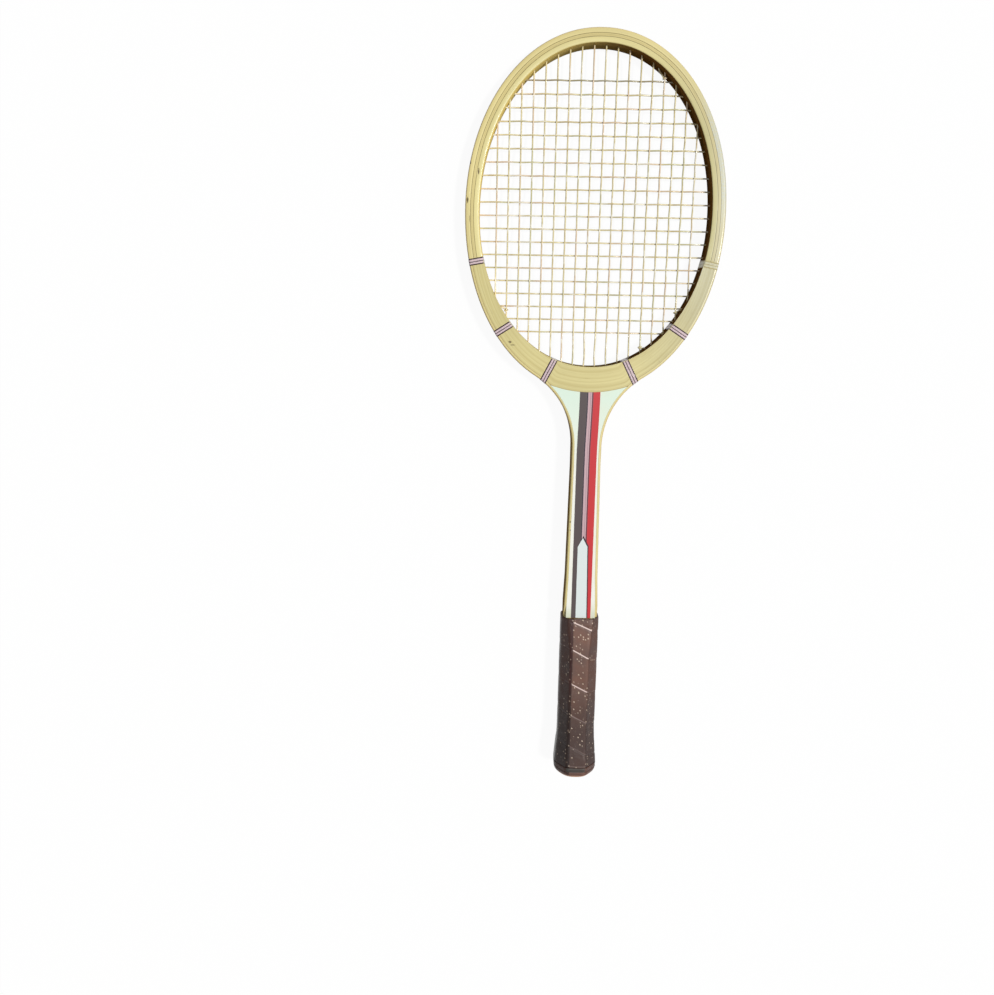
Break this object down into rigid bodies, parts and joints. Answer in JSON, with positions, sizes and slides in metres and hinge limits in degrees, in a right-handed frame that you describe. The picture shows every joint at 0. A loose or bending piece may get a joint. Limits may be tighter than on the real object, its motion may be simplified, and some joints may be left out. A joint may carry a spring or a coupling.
{
  "type": "wooden tennis racket",
  "caption": "Wooden tennis racket with a laminated oval hoop, woven strings, bound throat, striped shaft and a leather-wrapped eight-sided handle.",
  "frame": {"origin": "middle of the bounding box's bottom face, halfway between the butt and the tip of the head, in the plane that the flared butt rests on", "axes": "+Y along the racket from the butt to the tip of the head, +Z square to the string bed, out of the striped front face, +X across the head"},
  "size_m": [0.225, 0.6858, 0.036],
  "materials": {
    "outer_lamination": "clear varnished ash, satin gloss",
    "middle_lamination": "clear varnished ash, satin gloss",
    "inner_lamination": "clear varnished ash, satin gloss",
    "throat_wedge": "varnished beech",
    "shaft_core": "varnished beech",
    "bow_overlay_front": "natural wood veneer under clear varnish",
    "bow_overlay_back": "natural wood veneer under clear varnish",
    "shaft_overlay_front": "veneer painted cream with red, pink and dark stripes",
    "shaft_overlay_back": "veneer painted cream with red, pink and dark stripes",
    "handle_pallet_front": "bare beech",
    "handle_pallet_back": "bare beech",
    "butt_cap": "moulded, satin brown",
    "leather_grip": "dark brown leather strip with small holes",
    "main_string": "pale gut-coloured string",
    "cross_string": "pale gut-coloured string",
    "whipping_upper_left": "bound thread, lacquered",
    "whipping_upper_right": "bound thread, lacquered",
    "whipping_lower_left": "bound thread, lacquered",
    "whipping_lower_right": "bound thread, lacquered",
    "whipping_throat_left": "bound thread, lacquered",
    "whipping_throat_right": "bound thread, lacquered"
  },
  "bodies": {
    "root": {"outer_lamination": "outer_lamination", "middle_lamination": "middle_lamination", "inner_lamination": "inner_lamination", "throat_wedge": "throat_wedge", "shaft_core": "shaft_core", "bow_overlay_front": "bow_overlay_front", "bow_overlay_back": "bow_overlay_back", "shaft_overlay_front": "shaft_overlay_front", "shaft_overlay_back": "shaft_overlay_back", "handle_pallet_front": "handle_pallet_front", "handle_pallet_back": "handle_pallet_back", "butt_cap": "butt_cap", "leather_grip": "leather_grip", "main_string": "main_string", "cross_string": "cross_string", "whipping_upper_left": "whipping_upper_left", "whipping_upper_right": "whipping_upper_right", "whipping_lower_left": "whipping_lower_left", "whipping_lower_right": "whipping_lower_right", "whipping_throat_left": "whipping_throat_left", "whipping_throat_right": "whipping_throat_right"}
  },
  "joints": []
}
